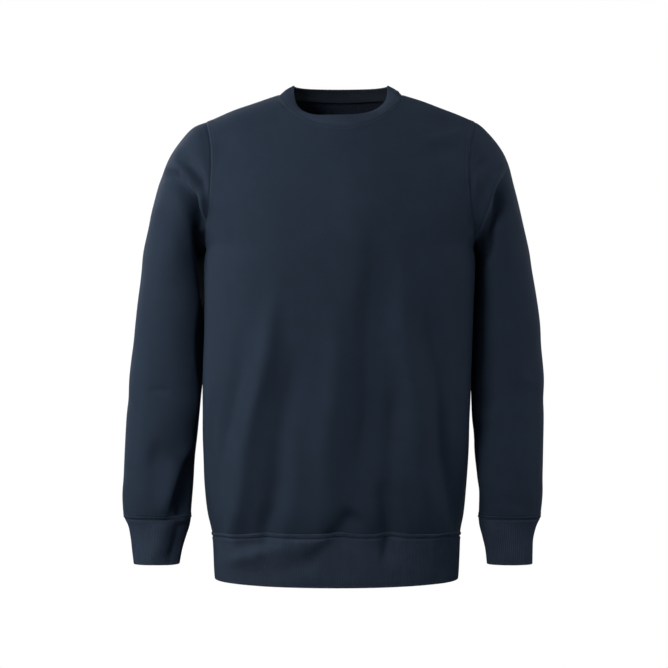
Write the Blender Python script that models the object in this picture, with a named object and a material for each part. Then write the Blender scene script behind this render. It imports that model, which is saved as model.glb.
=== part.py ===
"""Crewneck sweatshirt, filled out as it is worn, with the arms hanging down.

The shoulders carry it: the origin is in the middle of the neck opening, at the
height of the wearer's shoulders, and the hem hangs below.  +X is the wearer's
left, -Y is the front and +Z is up.  Sizes are in millimetres until MM turns them
into metres.  Eight pieces are cut and sewn: a front, a back, two sleeves, two
cuffs, a hem band and a collar.  Each is a wall of cloth, open where it is open.
"""

import math
from collections import namedtuple

import bpy
import numpy as np

MM = 0.001

# Driving dimensions
NECK_X = 89.0  # half the neck's width at its seam
NECK_Z = 3.0  # the neck seam stands this much above the wearer's shoulders
SHOULDER_X = 194.0  # from the middle to each shoulder point
SHOULDER_Z = -36.0
SHOULDER_Y = 5.0  # the shoulder seam sits a little behind the middle
SHOULDER_RISE = 2.0  # how far each shoulder bows up between its ends
UNDERARM_Z = -215.0
HEM_SEAM_Z = -625.0
HEM_SEAM_RISE = 7.0  # the seam runs this much higher at the middle of the front
HEM_EDGE_Z = -690.5
HEM_EDGE_DROP = 3.0  # the edge hangs this much lower at the middle of the front
FRONT_NECK_DROP = 51.0
BACK_NECK_DROP = 2.0

FLEECE = 2.0  # thickness of the brushed jersey
RIB = 2.8  # thickness of the doubled rib
SEAM_GAP = 0.3

ROUNDNESS = 2.35  # 2 is an ellipse, more is squarer
SHOULDER_ROUNDNESS = 1.85

# How finely the cloth is divided
NECK_COLUMNS = 7  # in half a neckline
SHOULDER_COLUMNS = 7  # in one shoulder
LOWER_ROWS = 16  # from the hem seam to the underarm
ARMHOLE_ROWS = 11
HEM_ROWS = 4
COLLAR_ROWS = 4
CUFF_ROWS = 5
RIM_STEPS = 3

# The body at each height: half its width, how far it reaches to the front and the
# back, and how far it stands to the wearer's left.  Above the underarm the width is
# that of the body and arms together.
Body = namedtuple("Body", "z half_width front back shift")
BODY = [
    Body(-694, 175.0, 110, 100, -0.5),
    Body(-650, 176.0, 112, 101, -0.5),
    Body(-625, 178.5, 115, 104, -1.0),
    Body(-600, 183.5, 120, 108, -1.5),
    Body(-560, 187.5, 122, 110, -1.5),
    Body(-500, 191.0, 122, 107, -1.0),
    Body(-430, 192.5, 120, 101, -0.5),
    Body(-340, 192.5, 119, 98, 2.4),
    Body(-290, 193.8, 121, 102, 3.5),
    Body(-255, 195.0, 123, 107, 4.2),
    Body(-232, 194.6, 123.5, 109, 4.3),
    Body(-215, 192.5, 124, 110, 4.3),
    Body(-190, 205.0, 123, 112, 4.4),
    Body(-150, 226.0, 121, 114, 4.6),
    Body(-104, 243.0, 118, 112, 5.0),
    Body(-50, 252.0, 116, 108, 5.5),
    Body(20, 256.0, 114, 104, 6.0),
]

# Where the armhole seam crosses each height, in front and behind
Armhole = namedtuple("Armhole", "z front back")
ARMHOLE = [
    Armhole(-215, 192.5, 192.5),
    Armhole(-195, 190, 190),
    Armhole(-172, 186, 186),
    Armhole(-140, 183.5, 183),
    Armhole(-104, 182.5, 182),
    Armhole(-66, 186, 186),
    Armhole(-36, 194, 194),
]

# A sleeve from its armhole to its cuff seam. Each section runs from a point on the
# outer line to one on the inner line, and reaches to the front and back of their middle.
Section = namedtuple("Section", "outer_x outer_z inner_x inner_z outer_y inner_y front back")
RIGHT_SLEEVE = [
    Section(188.4, -36, 188.2, -215, 5, 0, 72, 72),
    Section(208.5, -44, 191.4, -215.5, 6, 10, 76, 67),
    Section(225.5, -61, 191.8, -220, 8, 22, 77, 64),
    Section(239.6, -83, 190.2, -231, 11, 33, 77, 60),
    Section(250.4, -107, 189.8, -247, 14, 38, 75, 56),
    Section(260, -135, 189.7, -267, 17, 40, 72, 54),
    Section(270, -177, 189.5, -292, 21, 39, 68, 54),
    Section(281, -236, 189.4, -324, 25, 35, 62, 55),
    Section(289, -298, 190, -360, 28, 31, 57, 55),
    Section(295, -350, 192.8, -394, 28, 28, 53, 53),
    Section(300, -403, 196.5, -425, 25, 25, 51, 51),
    Section(304, -455, 200, -464, 18, 18, 49, 49),
    Section(306, -510, 204, -512, 8, 8, 45, 45),
    Section(307, -560, 207, -558, 0, 0, 41, 40),
    Section(307.5, -590, 209, -588, -5, -5, 37, 36),
    Section(304.5, -606, 209.5, -606, -8, -8, 32, 31),
]
LEFT_SLEEVE = [
    Section(199.7, -36, 196.8, -215, 5, 0, 72, 72),
    Section(216.5, -44, 200, -215.5, 6, 10, 76, 67),
    Section(231.5, -61, 200.4, -220, 8, 22, 77, 64),
    Section(243.4, -83, 198.8, -231, 11, 33, 77, 60),
    Section(251.6, -107, 198.4, -247, 14, 38, 75, 56),
    Section(259, -136, 197.9, -267, 17, 40, 72, 54),
    Section(269, -177, 196.6, -292, 21, 39, 68, 54),
    Section(281, -236, 195, -324, 25, 35, 62, 55),
    Section(292, -298, 193.3, -360, 28, 31, 57, 55),
    Section(297, -350, 193, -394, 28, 28, 53, 53),
    Section(300, -403, 194.5, -425, 25, 25, 51, 51),
    Section(300, -460, 196.5, -466, 18, 18, 49, 49),
    Section(298, -515, 200.5, -514, 8, 8, 45, 45),
    Section(296, -560, 204.5, -556, 0, 0, 41, 40),
    Section(295, -588, 204.5, -588, -5, -5, 37, 36),
    Section(292, -606, 203.5, -606, -8, -8, 32, 31),
]
RIGHT_CUFF = [
    Section(304.5, -606, 209.5, -606, -8, -8, 32, 31),
    Section(299, -617, 211.5, -617, -9, -9, 29, 28),
    Section(295.5, -634, 217, -634, -11, -11, 26, 26),
    Section(293.5, -650, 221.5, -650, -13, -13, 25, 25),
    Section(291, -669, 225, -669, -15, -15, 24, 24),
]
LEFT_CUFF = [
    Section(292, -606, 203.5, -606, -8, -8, 32, 31),
    Section(286.5, -617, 205, -617, -9, -9, 29, 28),
    Section(282, -634, 209.5, -634, -11, -11, 26, 26),
    Section(281, -650, 213, -650, -13, -13, 25, 25),
    Section(280.5, -669, 215, -669, -15, -15, 24, 24),
]
SLEEVE_STEPS = 24
ARMHOLE_REACH = 6.0  # sections over which the armhole's own curve fades out

# The collar's top edge, which leans in from the neck seam
RIM_X = 68.5
RIM_FRONT = 72.0
RIM_BACK = 50.0
RIM_MIDDLE_Y = 3.0
RIM_SIDE_Z = 16.8
RIM_BACK_Z = 15.5
RIM_FRONT_Z = -32.5
COLLAR_SWELL = 1.6  # how far the collar bows in between its edges

# The largest folds: a line across the cloth as seen from the front or back, how far
# its effect reaches to each side, and how far it stands out (or sinks, below zero).
Fold = namedtuple("Fold", "x0 z0 x1 z1 reach height")
FRONT_FOLDS = [
    Fold(-128, -250, -119, -420, 24, 3.0),
    Fold(-119, -380, -156, -640, 19, 5.0),
    Fold(-70, -340, -124, -640, 22, -6.0),
    Fold(-8, -330, -62, -640, 26, 5.0),
    Fold(30, -250, 10, -620, 23, -6.0),
    Fold(76, -280, 104, -630, 26, 4.5),
    Fold(138, -400, 156, -640, 22, -5.0),
    Fold(-18, -618, 22, -582, 12, -4.0),
    Fold(63, -540, 68, -640, 13, -4.0),
    Fold(96, -76, 186, -44, 13, 3.0),
    Fold(100, -96, 182, -72, 12, -2.5),
]
BACK_FOLDS = [
    Fold(-132, -330, -146, -640, 24, 4.5),
    Fold(-84, -300, -92, -640, 24, -6.0),
    Fold(-30, -340, -40, -640, 24, 5.0),
    Fold(22, -280, 14, -640, 24, -6.0),
    Fold(74, -330, 80, -640, 26, 5.0),
    Fold(128, -300, 142, -640, 22, -5.0),
    Fold(-90, -372, 96, -360, 20, -3.5),
    Fold(-70, -128, -178, -170, 16, 3.0),
    Fold(74, -126, 178, -172, 16, 3.0),
]
RIGHT_SLEEVE_FRONT_FOLDS = [
    Fold(-240, -76, -186, -134, 16, -4.0),
    Fold(-244, -92, -186, -172, 14, 5.0),
    Fold(-246, -116, -192, -200, 16, -4.5),
    Fold(-272, -492, -216, -512, 18, -4.0),
    Fold(-214, -516, -244, -590, 16, 3.5),
]
LEFT_SLEEVE_FRONT_FOLDS = [
    Fold(228, -70, 186, -116, 14, -3.5),
    Fold(244, -82, 186, -142, 14, 4.0),
    Fold(246, -104, 196, -196, 15, -4.5),
    Fold(200, -426, 232, -444, 18, -4.0),
    Fold(200, -474, 226, -492, 18, -3.5),
]
RIGHT_SLEEVE_BACK_FOLDS = [
    Fold(-252, -92, -202, -160, 14, -4.0),
    Fold(-298, -384, -206, -410, 15, -5.0),
    Fold(-300, -440, -206, -462, 15, -5.0),
]
LEFT_SLEEVE_BACK_FOLDS = [
    Fold(250, -98, 192, -180, 14, -5.0),
    Fold(296, -376, 206, -404, 15, -5.0),
    Fold(296, -436, 204, -456, 15, -5.0),
]

Piece = namedtuple("Piece", "grid ring thickness free_edge colour")
NAVY = (0.021, 0.030, 0.043, 1.0)
NAVY_RIB = (0.024, 0.032, 0.046, 1.0)

FRONT, BACK = -1, 1
RIGHT, LEFT = -1, 1


# Reading a table and shaping a line


def ease(value, start, end):
    """0 before start and 1 after end, with a smooth rise between them."""
    t = np.clip((value - start) / (end - start), 0.0, 1.0)
    return t * t * (3 - 2 * t)


def smooth(knots, values, where):
    """A smooth curve through the values at their knots, read anywhere between them."""
    knots, values = np.asarray(knots, float), np.asarray(values, float)
    slopes = np.gradient(values, knots)
    i = np.clip(np.searchsorted(knots, where) - 1, 0, len(knots) - 2)
    span = knots[i + 1] - knots[i]
    t = np.clip((where - knots[i]) / span, 0.0, 1.0)
    ends = values[i] * (1 + 2 * t) * (1 - t) ** 2 + values[i + 1] * (3 - 2 * t) * t**2
    bends = slopes[i] * t * (1 - t) ** 2 - slopes[i + 1] * (1 - t) * t**2
    return ends + span * bends


def at_height(table, column, z):
    """One column of a table whose rows are heights."""
    return smooth([row.z for row in table], [getattr(row, column) for row in table], z)


def at_section(table, column, index):
    """One column of a table whose rows follow one another, at a whole or part index."""
    return smooth(range(len(table)), [getattr(row, column) for row in table], index)


# The body's form


def ridge_z(x):
    """Height of the line over the shoulders, carried on across the neck."""
    inward = (SHOULDER_X - np.abs(x)) / (SHOULDER_X - NECK_X)
    bow = SHOULDER_RISE * np.sin(np.clip(inward, 0, 1) * math.pi)
    return SHOULDER_Z + (NECK_Z - SHOULDER_Z) * inward + bow


def body_y(side, x, z):
    """How far forward or back the body's surface lies at a place seen from the front."""
    width = at_height(BODY, "half_width", z)
    reach = at_height(BODY, "front" if side == FRONT else "back", z)
    across = (1 - np.clip(np.abs(x) / width, 0, 1) ** ROUNDNESS) ** (1 / ROUNDNESS)
    up = np.clip((z - UNDERARM_Z) / (ridge_z(x) - UNDERARM_Z), 0, 1)
    over = (1 - up**SHOULDER_ROUNDNESS) ** (1 / SHOULDER_ROUNDNESS)
    return SHOULDER_Y * up**4 + side * reach * across * over


def neckline_z(side, x):
    """Height of the neck seam."""
    inward = np.clip(1 - (x / NECK_X) ** 2, 0, 1) ** 0.75
    return NECK_Z - (FRONT_NECK_DROP if side == FRONT else BACK_NECK_DROP) * inward


def edge_x(side, z):
    """Half the panel's width: to the side seam, and above it to the armhole."""
    armhole = at_height(ARMHOLE, "front" if side == FRONT else "back", z)
    return np.where(z > UNDERARM_Z, armhole, at_height(BODY, "half_width", z))


def columns():
    """Column places from -1 at the wearer's right edge to 1 at the left."""
    half = NECK_COLUMNS + SHOULDER_COLUMNS
    return np.arange(-half, half + 1) / half


def bottom_share():
    """How far out each column lies at the hem, as a share of the panel's half width."""
    return np.sin(columns() * math.pi / 2)


def top_share():
    """The same along the shoulders and neck, with a column on each neck point."""
    neck = NECK_X / SHOULDER_X * np.sin(np.arange(1, NECK_COLUMNS + 1) / NECK_COLUMNS * math.pi / 2)
    shoulder = np.linspace(NECK_X / SHOULDER_X, 1, SHOULDER_COLUMNS + 1)[1:]
    return np.concatenate([-shoulder[::-1], -neck[::-1], [0.0], neck, shoulder])


def armhole_angles():
    """Angles round an armhole, from its underarm to its shoulder point."""
    return np.linspace(math.pi, 0, ARMHOLE_ROWS + 1)


def panel_heights():
    """Heights of the panel's edge, from the hem seam up to the shoulder point."""
    middle = (SHOULDER_Z + UNDERARM_Z) / 2
    half = (SHOULDER_Z - UNDERARM_Z) / 2
    lower = np.linspace(HEM_SEAM_Z, UNDERARM_Z, LOWER_ROWS + 1)[:-1]
    return np.concatenate([lower, middle + half * np.cos(armhole_angles())])


def hem_seam_z(side):
    rise = HEM_SEAM_RISE if side == FRONT else 0.0
    return HEM_SEAM_Z + rise * np.cos(columns() * math.pi / 2)


def shifted(x, y, z):
    """Points moved sideways by as much as the body is at their height."""
    return np.stack([x + at_height(BODY, "shift", z), y, z], axis=-1)


def panel(side, folds):
    """The front's or back's outer points, from the hem seam to the shoulders and neck."""
    heights = panel_heights()
    top_x = SHOULDER_X * top_share()
    on_neck = np.abs(columns()) <= NECK_COLUMNS / (NECK_COLUMNS + SHOULDER_COLUMNS)
    top_z = np.where(on_neck, neckline_z(side, top_x), ridge_z(top_x))
    up = ((heights - HEM_SEAM_Z) / (SHOULDER_Z - HEM_SEAM_Z))[:, None]
    bottom_z = hem_seam_z(side)
    z = bottom_z + (top_z - bottom_z) * up
    towards_top = ease(heights, UNDERARM_Z - 60, SHOULDER_Z)[:, None]
    share = bottom_share() + (top_share() - bottom_share()) * towards_top
    x = edge_x(side, heights)[:, None] * share
    points = shifted(x, body_y(side, x, z), z)
    clear_of_seams = (1 - np.abs(columns()) ** 12) * (1 - up**24)
    return folded(points, False, folds, clear_of_seams, -side)


def hem_rows(side):
    """One side of the hem band, from its seam down, with the same columns as the panel."""
    down = np.linspace(0, 1, HEM_ROWS + 1)[:, None]
    seam_z = hem_seam_z(side)
    drop = HEM_EDGE_DROP if side == FRONT else 0.0
    edge_z = HEM_EDGE_Z - drop * np.cos(columns() * math.pi / 2) ** 2
    z = seam_z + (edge_z - seam_z) * down
    edge = HEM_SEAM_Z + (HEM_EDGE_Z - HEM_SEAM_Z) * down
    x = at_height(BODY, "half_width", edge) * bottom_share()
    return shifted(x, body_y(side, x, z), z)


# Folds


def fold_height(folds, x, z):
    """How far the folds move the cloth at a place seen from the front."""
    height = np.zeros_like(x)
    for fold in folds:
        run = np.array([fold.x1 - fold.x0, fold.z1 - fold.z0])
        length = np.hypot(*run)
        along = ((x - fold.x0) * run[0] + (z - fold.z0) * run[1]) / length**2
        off = ((x - fold.x0) * run[1] - (z - fold.z0) * run[0]) / length
        ends = ease(along, -0.1, 0.25) * (1 - ease(along, 0.75, 1.1))
        height += fold.height * ends * np.exp(-((off / fold.reach) ** 2))
    return height


def normals(points, ring):
    """A grid's outward normals. The columns of a ring close on themselves."""
    down = np.gradient(points, axis=0)
    if ring:
        across = (np.roll(points, -1, axis=1) - np.roll(points, 1, axis=1)) / 2
    else:
        across = np.gradient(points, axis=1)
    cross = np.cross(across, down)
    return cross / np.linalg.norm(cross, axis=-1, keepdims=True)


def folded(points, ring, folds, amount, facing):
    """The points moved out or in by the folds. facing is 1 where normals() points out."""
    height = fold_height(folds, points[..., 0], points[..., 2]) * amount
    return points + facing * height[..., None] * normals(points, ring)


# Rings


def round_ring(front_part, back_part):
    """Joins a front and a back strip into rings, which go left, front, right, back."""
    return np.concatenate([front_part[:, ::-1], back_part[:, 1:-1]], axis=1)


def armhole_ring(front, back, side):
    """The armhole's points, from the shoulder point down the front and up the back."""
    column = -1 if side == LEFT else 0
    front_edge = front[-ARMHOLE_ROWS - 1 :, column][::-1]
    back_edge = back[-ARMHOLE_ROWS - 1 :, column]
    return np.concatenate([front_edge, back_edge[1:-1]])


def ring_angles():
    half = armhole_angles()[::-1]
    return np.concatenate([half, 2 * math.pi - half[::-1][1:-1]])


def sections(table, side, steps):
    """Rings through a sleeve's or cuff's table of sections."""
    index = np.linspace(0, len(table) - 1, steps + 1)[:, None]
    read = {name: at_section(table, name, index) for name in Section._fields}
    angle = ring_angles()[None, :]
    outward = (1 + np.cos(angle)) / 2
    x = read["inner_x"] + (read["outer_x"] - read["inner_x"]) * outward
    z = read["inner_z"] + (read["outer_z"] - read["inner_z"]) * outward
    reach = np.where(np.sin(angle) > 0, read["front"], read["back"])
    y = read["inner_y"] + (read["outer_y"] - read["inner_y"]) * outward - reach * np.sin(angle)
    return np.stack([side * x, y, z], axis=-1)


def sleeve(front, back, side, table, front_folds, back_folds):
    """A sleeve that starts on the armhole and ends at its cuff seam."""
    points = sections(table, side, SLEEVE_STEPS)
    index = np.linspace(0, len(table) - 1, SLEEVE_STEPS + 1)
    fading = (1 - np.clip(index / ARMHOLE_REACH, 0, 1)) ** 2
    points += fading[:, None, None] * (armhole_ring(front, back, side) - points[0])
    forward = np.sin(ring_angles())
    clear_of_seams = ease(index, 0.0, 2.0) * (1 - ease(index, 14.4, 15.0))
    for folds, facing_us in ((front_folds, forward), (back_folds, -forward)):
        amount = clear_of_seams[:, None] * ease(facing_us, -0.1, 0.45)[None, :]
        points = folded(points, True, folds, amount, side)
    return points


def cuff(sleeve_points, side, table):
    points = sections(table, side, CUFF_ROWS)
    points[0] = sleeve_points[-1]
    return points


def collar(front, back):
    """The collar, from the neck seam up to its folded edge."""
    on_neck = slice(SHOULDER_COLUMNS, -SHOULDER_COLUMNS)
    seam = round_ring(front[-1:, on_neck], back[-1:, on_neck])[0]
    middle_x = seam[:, 0].mean()
    across = np.clip((seam[:, 0] - middle_x) / NECK_X, -1, 1)
    inward = np.sqrt(1 - across**2)
    climbed = (1 - np.abs(across) ** 2.5) ** 0.4
    forward = np.arange(len(seam)) < 2 * NECK_COLUMNS
    reach = np.where(forward, -RIM_FRONT - RIM_MIDDLE_Y, RIM_BACK - RIM_MIDDLE_Y)
    climb = np.where(forward, RIM_FRONT_Z - RIM_SIDE_Z, RIM_BACK_Z - RIM_SIDE_Z)
    rim = np.stack(
        [
            middle_x + RIM_X * across,
            RIM_MIDDLE_Y + reach * inward,
            RIM_SIDE_Z + climb * climbed,
        ],
        axis=-1,
    )
    up = np.linspace(0, 1, COLLAR_ROWS + 1)[:, None, None]
    points = seam + (rim - seam) * up
    swell = COLLAR_SWELL * np.sin(up * math.pi)
    return points + swell * normals(points, True)


# Walls


def shared_normals(pieces):
    """Each piece's outward normals, made the same on both sides of every seam."""
    found = {name: outward(piece) for name, piece in pieces.items()}
    total = {}
    for name, piece in pieces.items():
        for point, normal in zip(
            piece.grid.reshape(-1, 3), found[name].reshape(-1, 3), strict=True
        ):
            key = tuple(np.round(point, 2))
            total[key] = total.get(key, 0) + normal
    for name, piece in pieces.items():
        flat = [total[tuple(np.round(p, 2))] for p in piece.grid.reshape(-1, 3)]
        flat = np.array(flat) / np.linalg.norm(flat, axis=1, keepdims=True)
        found[name] = flat.reshape(piece.grid.shape)
    return found


def outward(piece):
    """Normals that point away from the middle of the piece's own ring or panel."""
    found = normals(piece.grid, piece.ring)
    return found * faces_out(piece)


def faces_out(piece):
    """1 where normals() already points out of the garment, -1 where it points in."""
    row = len(piece.grid) // 2
    across = piece.grid[row] - piece.grid[row].mean(axis=0)
    if not piece.ring:
        across = piece.grid[row] * np.array([0, 1.0, 0])
    found = normals(piece.grid, piece.ring)[row]
    return 1.0 if (found * across).sum() > 0 else -1.0


def parted(points, piece):
    """The points with every seam edge drawn back by half the gap."""
    moved = points.copy()

    def draw_back(edge, inner):
        step = piece.grid[inner] - piece.grid[edge]
        step = step / np.linalg.norm(step, axis=-1, keepdims=True)
        moved[edge] += step * SEAM_GAP / 2

    draw_back(0, 1)
    if not piece.free_edge:
        draw_back(-1, -2)
    if not piece.ring:
        draw_back((slice(None), 0), (slice(None), 1))
        draw_back((slice(None), -1), (slice(None), -2))
    return moved


def rim_rows(outer, inner, before):
    """Rows that round a free edge over from the outer face to the inner one."""
    middle = (outer + inner) / 2
    way = outer - before
    way = way / np.linalg.norm(way, axis=-1, keepdims=True)
    half = np.linalg.norm(outer - inner, axis=-1, keepdims=True) / 2
    rows = []
    for step in range(1, RIM_STEPS):
        turn = math.pi * step / RIM_STEPS
        rows.append(middle + (outer - middle) * math.cos(turn) + way * half * math.sin(turn))
    return rows


def wall(name, piece, outward_normals):
    """A closed wall of cloth between the outer points and the ones a thickness inside."""
    outer = parted(piece.grid, piece)
    inner = parted(piece.grid - piece.thickness * outward_normals, piece)
    rows = list(outer)
    if piece.free_edge:
        rows += rim_rows(outer[-1], inner[-1], outer[-2])
    rows += list(inner[::-1])
    loop = np.array(rows)
    faces = loop_triangles(loop, len(outer), piece.ring)
    if not piece.ring:
        faces += end_faces(loop, len(outer))
    mesh = bpy.data.meshes.new(name)
    mesh.from_pydata((loop.reshape(-1, 3) * MM).tolist(), [], faces)
    if faces_out(piece) < 0:
        mesh.flip_normals()
    mesh.shade_smooth()
    mesh.set_sharp_from_angle(angle=math.radians(50))
    return mesh


def loop_triangles(loop, rows, ring):
    """Triangles over every cell. A cell and the one behind it are cut the same way."""
    count, width = loop.shape[:2]
    cells = width if ring else width - 1
    outer = loop[:rows]
    right = np.roll(outer, -1, axis=1)
    falling = np.linalg.norm(right[1:] - outer[:-1], axis=-1)
    rising = np.linalg.norm(outer[1:] - right[:-1], axis=-1)
    faces = []
    for row in range(count):
        below = (row + 1) % count
        for column in range(cells):
            beside = (column + 1) % width
            if row < rows - 1:
                cut_falling = falling[row, column] < rising[row, column]
            elif row == count - 1:
                cut_falling = lower(loop[0, beside], loop[0, column])
            elif row > count - 1 - rows:
                behind = count - 2 - row
                cut_falling = falling[behind, column] >= rising[behind, column]
            else:
                cut_falling = lower(loop[rows - 1, column], loop[rows - 1, beside])
            corners = [(row, column), (row, beside), (below, beside), (below, column)]
            a, b, c, d = (r * width + k for r, k in corners)
            faces += [[a, b, c], [a, c, d]] if cut_falling else [[a, b, d], [b, c, d]]
    return faces


def lower(point, other):
    """Whether a point lies below another, or behind it at the same height.

    Seam faces are cut from their lower outer corner, so the two sides of a seam agree.
    """
    way = other - point
    return way[2] - way[1] / 10 > 0


def end_faces(loop, rows):
    """The faces that close an open panel's two side edges."""
    count, width = loop.shape[:2]
    faces = []
    for row in range(rows - 1):
        for column, above, below in ((0, row, row + 1), (width - 1, row + 1, row)):
            corners = [above, below, count - 1 - below, count - 1 - above]
            a, b, c, d = (r * width + column for r in corners)
            from_above = lower(loop[above, column], loop[below, column])
            faces += [[a, b, c], [a, c, d]] if from_above else [[a, b, d], [b, c, d]]
    return faces


def cloth(name, colour, roughness):
    material = bpy.data.materials.new(name)
    material.use_nodes = True
    shader = material.node_tree.nodes["Principled BSDF"]
    shader.inputs["Base Color"].default_value = colour
    shader.inputs["Roughness"].default_value = roughness
    shader.inputs["Metallic"].default_value = 0.0
    return material


def sewn_pieces():
    """Every piece of the garment by name."""
    front = panel(FRONT, FRONT_FOLDS)
    back = panel(BACK, BACK_FOLDS)
    right = sleeve(
        front, back, RIGHT, RIGHT_SLEEVE, RIGHT_SLEEVE_FRONT_FOLDS, RIGHT_SLEEVE_BACK_FOLDS
    )
    left = sleeve(front, back, LEFT, LEFT_SLEEVE, LEFT_SLEEVE_FRONT_FOLDS, LEFT_SLEEVE_BACK_FOLDS)
    hem = round_ring(hem_rows(FRONT), hem_rows(BACK))
    hem = hem + hem_fade() * (round_ring(front[:1], back[:1]) - hem[:1])
    return {
        "front_panel": Piece(front, False, FLEECE, False, NAVY),
        "back_panel": Piece(back, False, FLEECE, False, NAVY),
        "right_sleeve": Piece(right, True, FLEECE, False, NAVY),
        "left_sleeve": Piece(left, True, FLEECE, False, NAVY),
        "right_cuff": Piece(cuff(right, RIGHT, RIGHT_CUFF), True, RIB, True, NAVY_RIB),
        "left_cuff": Piece(cuff(left, LEFT, LEFT_CUFF), True, RIB, True, NAVY_RIB),
        "hem_band": Piece(hem, True, RIB, True, NAVY_RIB),
        "collar": Piece(collar(front, back), True, RIB, True, NAVY_RIB),
    }


def hem_fade():
    """How much of the body's folds each row of the hem band still shows."""
    return (1 - np.linspace(0, 1, HEM_ROWS + 1)[:, None, None]) ** 1.5


def main():
    for old in list(bpy.data.objects):
        bpy.data.objects.remove(old)
    garment = bpy.data.collections.new("crewneck_sweatshirt")
    bpy.context.scene.collection.children.link(garment)
    pieces = sewn_pieces()
    outward_normals = shared_normals(pieces)
    for name, piece in pieces.items():
        mesh = wall(name, piece, outward_normals[name])
        mesh.materials.append(cloth(name, piece.colour, 0.92))
        garment.objects.link(bpy.data.objects.new(name, mesh))


main()
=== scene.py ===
"""Dresses the crewneck sweatshirt: fleece panels and sleeves, ribbed bands, seams and stitches.

Each piece of cloth keeps the form and place of the solid that it replaces, with finer
folds, the relief of its seams and a knitted surface. The garment's sizes are in
millimetres until MM turns them into metres, and the studio's are in metres. +X is the
wearer's left, -Y is the front and +Z is up.
"""

import math
from collections import namedtuple

import bpy
import numpy as np
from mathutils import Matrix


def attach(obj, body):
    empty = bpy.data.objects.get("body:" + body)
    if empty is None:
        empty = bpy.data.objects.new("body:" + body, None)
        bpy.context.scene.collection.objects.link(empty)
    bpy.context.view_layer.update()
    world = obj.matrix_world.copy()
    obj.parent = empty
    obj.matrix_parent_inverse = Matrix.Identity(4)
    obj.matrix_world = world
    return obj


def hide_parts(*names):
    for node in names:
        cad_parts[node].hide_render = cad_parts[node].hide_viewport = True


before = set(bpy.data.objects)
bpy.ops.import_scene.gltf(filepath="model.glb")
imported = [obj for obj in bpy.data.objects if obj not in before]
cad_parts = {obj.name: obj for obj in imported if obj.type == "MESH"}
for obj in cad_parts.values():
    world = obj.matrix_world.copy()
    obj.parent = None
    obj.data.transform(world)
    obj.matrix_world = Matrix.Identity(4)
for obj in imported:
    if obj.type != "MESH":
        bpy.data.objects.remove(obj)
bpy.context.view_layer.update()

MM = 0.001

FRONT, BACK = -1, 1
RIGHT, LEFT = -1, 1

# The garment's own sizes
NECK_X = 89.0  # the neck point, where the neck seam meets the shoulder seam
NECK_Z = 3.0
NECK_ROUNDING = 30.0  # how near the middle the line across the neck is rounded off
FRONT_NECK_DROP = 51.0
BACK_NECK_DROP = 2.0
NECKLINE_CURVE = 0.75  # 0.5 is half an ellipse and 1 is a parabola
SHOULDER_X = 194.0  # the shoulder point, where that seam meets the armhole
SHOULDER_Y = 5.0
SHOULDER_Z = -36.0
SHOULDER_RISE = 2.0  # how far the shoulder seam bows up between the two points
UNDERARM_Z = -215.0
TAPER = 60.0  # how far below the underarm the columns begin to lean towards the neck
HEM_SEAM_Z = -625.0
HEM_SEAM_RISE = 7.0  # in the middle of the front
HEM_EDGE_Z = -690.5
HEM_EDGE_DROP = 3.0  # in the middle of the front
ROUNDNESS = 2.35  # of the body from above: 2 is an ellipse, and more is squarer
SHOULDER_ROUNDNESS = 1.85  # of the body from the side, above the underarm
FLEECE = 2.0  # how thick the cloth is, and the doubled rib
RIB = 2.8

# The collar's folded edge: half its width, how far to the front and the back it reaches,
# where its sides are, and its heights
RIM_X = 68.5
RIM_FRONT = 72.0
RIM_BACK = 50.0
RIM_MIDDLE_Y = 3.0
RIM_SIDE_Z = 16.8
RIM_BACK_Z = 15.5
RIM_FRONT_Z = -32.5

# How far a band stands out between its seam and its edge
COLLAR_SWELL = 1.6
HEM_SWELL = 1.6

# How many sections of a sleeve take up the armhole's form, and of a cuff the sleeve's
ARMHOLE_REACH = 6.0
CUFF_REACH = 2.0

# Rounded sizes of a sleeve, which turn an angle or a column into a length along the cloth
SLEEVE_RADIUS = 55.0
COLUMN_WIDTH = 3.3

# How finely the cloth is divided: first how far from a seam its rows or columns lie, and
# then how many rows and columns the rest of it has
SEAM_STEPS = [0, 0.5, 1.0, 1.4, 1.9, 2.7, 3.7, 4.6, 5.2, 5.8, 6.4, 7.2, 8.6, 10.4, 12.6, 15.4]
BAND_STEPS = [0, 0.7, 1.4, 2.3, 3.4, 4.4, 5.1, 5.8, 6.6, 8.0, 11.0]
NECK_COLUMNS = 34
SHOULDER_COLUMNS = 30
LOWER_ROWS = 104
ARMHOLE_ROWS = 58
SLEEVE_ROWS = 142
HEM_ROWS = 11
CUFF_ROWS = 14
COLLAR_ROWS = 9
EDGE_STEPS = 6  # round a band's folded edge
HALF_ROUND = 250.0  # from a panel's middle to its side edge, along the cloth
NECK_SHARE = 0.5  # how far out in a panel's columns the neck reaches
ON_ARMHOLE = slice(-ARMHOLE_ROWS - 1, None)  # the rows of a panel that end on the armhole

# The ribs all round each band, and how many columns make one
RIB_DEPTH = 0.55
RIB_COLUMNS = 4
HEM_RIBS = 432
CUFF_RIBS = 76
COLLAR_RIBS = 184

# A band's sewn allowance inside: how far beyond the seam, and how deep in
ALLOWANCE = ((1.5, 3.5), (4.5, 3.9), (6.0, 3.5), (6.2, 2.8), (4.5, 2.4), (1.0, 2.4))
CLEAR_ROW = 4  # a band's row that the seam's relief doesn't tilt, which the allowance follows

# Stitches
NEEDLE_LINES = (1.4, 5.8)  # how far the two rows of stitches run from their seam
STITCH_PITCH = 3.1
STITCH_LENGTH = 2.5
STITCH_RADIUS = 0.34
STITCH_SIDES = 5
STITCH_AIM = 0.8  # how far before and after it a stitch takes its direction from
# The rings of a stitch: place in half lengths, then size and lift in radii
STITCH_RINGS = (
    (-1.0, 0.35, -1.3),
    (-0.62, 0.9, -0.1),
    (0.0, 1.0, 0.25),
    (0.62, 0.9, -0.1),
    (1.0, 0.35, -1.3),
)

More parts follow.
